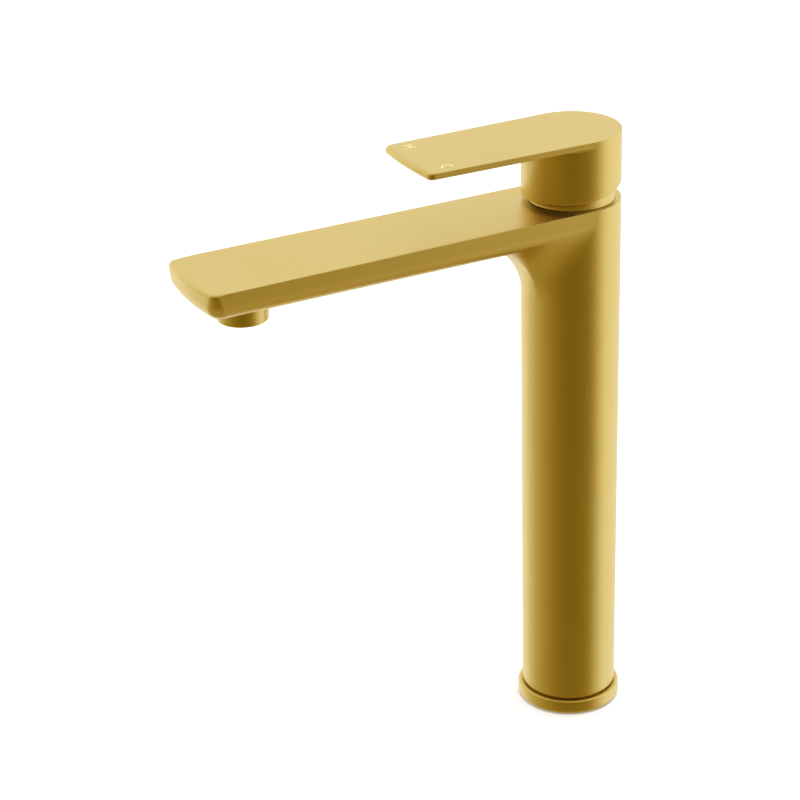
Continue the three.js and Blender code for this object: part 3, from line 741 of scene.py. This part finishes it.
def dress_inner_pieces():
    """The pieces inside keep their CAD shapes and get the finish of their slot."""
    finishes = {
        "raw_brass": metal_material(
            "raw brass", (0.62, 0.42, 0.15), (0.48, 0.31, 0.10), 0.42, 500, (1, 1, 6)),
        "copper": metal_material(
            "copper", (0.78, 0.38, 0.22), (0.60, 0.27, 0.14), 0.35, 300, (4, 4, 1)),
        "steel": metal_material(
            "stainless steel", (0.62, 0.62, 0.62), (0.50, 0.50, 0.51), 0.3, 700, (1, 1, 5)),
        "ceramic": plain_material(
            "ceramic", (0.86, 0.84, 0.78), (0.80, 0.78, 0.72), 0.22, 2500, 0.000005),
        "white_plastic": plain_material(
            "white plastic", (0.80, 0.80, 0.78), (0.74, 0.74, 0.72), 0.42, 1800, 0.00002),
        "grey_plastic": plain_material(
            "grey plastic", (0.26, 0.28, 0.30), (0.22, 0.24, 0.26), 0.45, 1800, 0.00002),
        "rubber": plain_material(
            "black rubber", (0.015, 0.015, 0.016), (0.03, 0.03, 0.03), 0.75, 1500, 0.00003),
    }
    slots = {
        "raw_brass": ["inlet_block", "cartridge_nut"],
        "copper": ["hot_tube", "cold_tube"],
        "steel": ["spindle", "spindle_pin", "handle_screw", "aerator_screen"],
        "ceramic": ["fixed_disc", "moving_disc"],
        "white_plastic": ["cartridge_base", "cartridge_shell"],
        "grey_plastic": ["disc_carrier", "lever_guide", "aerator_insert"],
    }
    named = {node: slot for slot, members in slots.items() for node in members}
    for name, node in frame["nodes"].items():
        if node.hide_render:
            continue
        slot = named.get(name, "rubber")
        node.data.materials.clear()
        node.data.materials.append(finishes[slot])
    return finishes


# ---- Studio --------------------------------------------------------------------------------


def build_floor():
    """A wide, round, nearly white floor, which catches a faint shadow of the faucet."""
    height = -0.2
    angles = np.linspace(0, 2 * math.pi, 96, endpoint=False)
    rings = [[(r * math.cos(a), r * math.sin(a), height) for a in angles]
             for r in (1, 200, 600, 1500, 4000)]
    floor = skin_rings("floor", rings, closed_start=False, closed_end=False)
    tidy_faces(floor)
    if floor.data.polygons[0].normal.z < 0:
        floor.data.flip_normals()
    material, nodes = new_material("pale floor")
    speck = nodes.noise(60, 2)
    color = nodes.mix(nodes.remap(speck, 0, 1), (0.93, 0.93, 0.925, 1), (0.915, 0.915, 0.91, 1))
    nodes.surface(Base_Color=color, Roughness=0.9)
    floor.data.materials.append(material)
    floor.visible_glossy = False


# Brightness of the room by azimuth in degrees, where 0 is straight ahead of the spout and 90 is +X.
ROOM = ((-180, 0.90), (-115, 0.97), (-75, 0.96), (-40, 0.62), (0, 0.38), (30, 0.23), (60, 0.165),
        (85, 0.20), (105, 0.24), (118, 0.38), (130, 0.64), (150, 0.90), (180, 0.90))
OVERHEAD, UNDERFOOT = 0.68, 0.39  # brightness of the ceiling and of the floor
CEILING_FADE, FLOOR_FADE = (0.60, 1.05), (-0.48, -0.88)  # heights over which the room passes into each
BACKWARD = (-0.857, 0.515, 0)  # the way to the room's bright side
BACKWARD_SHIFT = 0.45  # how much lower the ceiling and the floor start on that side
STRENGTH = 1.12
PLAIN = 0.88  # level of the light that falls on pieces that are not mirrors
# Light of each brightness: neutral where bright, and the amber of gold mirrored in gold where dark.
TONES = ((0.0, (0.0, 0.0, 0.0)), (0.13, (0.13, 0.080, 0.0)), (0.25, (0.25, 0.163, 0.0)),
         (0.50, (0.50, 0.40, 0.17)), (0.90, (0.90, 0.90, 0.95)), (1.0, (1.0, 1.0, 1.0)))


def fill_ramp(node, stops):
    """Sets the colours of a ramp, which is linear between its stops."""
    ramp = node.color_ramp
    while len(ramp.elements) < len(stops):
        ramp.elements.new(0.5)
    for element, (position, color) in zip(ramp.elements, stops):
        element.position = position
        element.color = (*color, 1)


def build_world():
    """A bright room with a dark amber side towards +X. Only mirrored rays see it: the camera sees
    white, and every other ray a plain grey."""
    world = bpy.data.worlds.new("studio")
    bpy.context.scene.world = world
    world.use_nodes = True
    nodes = Nodes(world.node_tree)
    where = nodes.add("TexCoord").outputs["Generated"]
    split = nodes.add("SeparateXYZ", {"Vector": where})
    forward = nodes.add("Math", {0: split.outputs["Y"], 1: -1.0}, operation="MULTIPLY").outputs[0]
    azimuth = nodes.add("Math", {0: split.outputs["X"], 1: forward}, operation="ARCTAN2").outputs[0]
    share = nodes.remap(azimuth, 0, 1, -math.pi, math.pi)
    around = nodes.add("ValToRGB", {"Fac": share})
    fill_ramp(around, [(angle / 360 + 0.5, (level,) * 3) for angle, level in ROOM])
    backward = nodes.add("VectorMath", {0: where, 1: BACKWARD}, operation="DOT_PRODUCT").outputs["Value"]
    lift = nodes.remap(backward, 0, BACKWARD_SHIFT, 0, 1)
    height = nodes.add("Math", {0: split.outputs["Z"], 1: lift}, operation="ADD").outputs[0]
    above = nodes.remap(height, 0, 1, *CEILING_FADE)
    beneath = nodes.remap(height, 0, 1, *FLOOR_FADE)
    level = nodes.mix(above, around.outputs["Color"], (OVERHEAD,) * 3 + (1,))
    level = nodes.mix(beneath, level, (UNDERFOOT,) * 3 + (1,))
    tone = nodes.add("ValToRGB", {"Fac": level})
    fill_ramp(tone, TONES)
    ray = nodes.add("LightPath")
    plain = nodes.mix(ray.outputs["Is Camera Ray"], (PLAIN,) * 3 + (1,), (1, 1, 1, 1))
    color = nodes.mix(ray.outputs["Is Glossy Ray"], plain, tone.outputs["Color"])
    background = nodes.add("Background", {"Color": color, "Strength": STRENGTH})
    nodes.add("OutputWorld", {"Surface": background.outputs["Background"]})


def build_softbox():
    """A wide soft light straight overhead."""
    data = bpy.data.lights.new("overhead softbox", "AREA")
    data.shape, data.size, data.energy = "DISK", 1.6, 30
    light = bpy.data.objects.new("overhead softbox", data)
    light.location = (0, 0, 1.9)
    light.visible_glossy = False
    bpy.context.scene.collection.objects.link(light)


def build_camera():
    azimuth, elevation, roll = (math.radians(a) for a in (63.12, 25.19, -1.43))
    aim = Vector((-0.0928, -0.0449, 0.1352))
    distance = 1.3245
    level = math.cos(elevation)
    back = Vector((math.sin(azimuth) * level, -math.cos(azimuth) * level, math.sin(elevation)))
    data = bpy.data.cameras.new("camera")
    data.lens, data.sensor_width = 117.0, 36.0
    camera = bpy.data.objects.new("camera", data)
    camera.location = aim + back * distance
    turned = (-back).to_track_quat("-Z", "Y").to_matrix() @ Matrix.Rotation(roll, 3, "Z")
    camera.rotation_euler = turned.to_euler()
    bpy.context.scene.collection.objects.link(camera)
    bpy.context.scene.camera = camera


def main():
    bpy.context.scene.view_settings.view_transform = "Standard"
    build_camera()
    build_world()
    build_softbox()
    build_floor()
    along_column = gold_material("satin gold", brush=(1, 1, 0.12))
    along_lever = gold_material("satin gold lever", brush=(1, 0.12, 1))
    build_body(along_column)
    build_handle(along_lever)
    build_base_ring(along_column)
    build_dome(along_column)
    build_plug(along_lever)
    pale = plain_material("etched mark", (0.84, 0.72, 0.40), (0.80, 0.68, 0.37), 0.5, 3000, 0.000005)
    build_marks(pale)
    finishes = dress_inner_pieces()
    build_aerator(along_column, finishes["white_plastic"])


main()
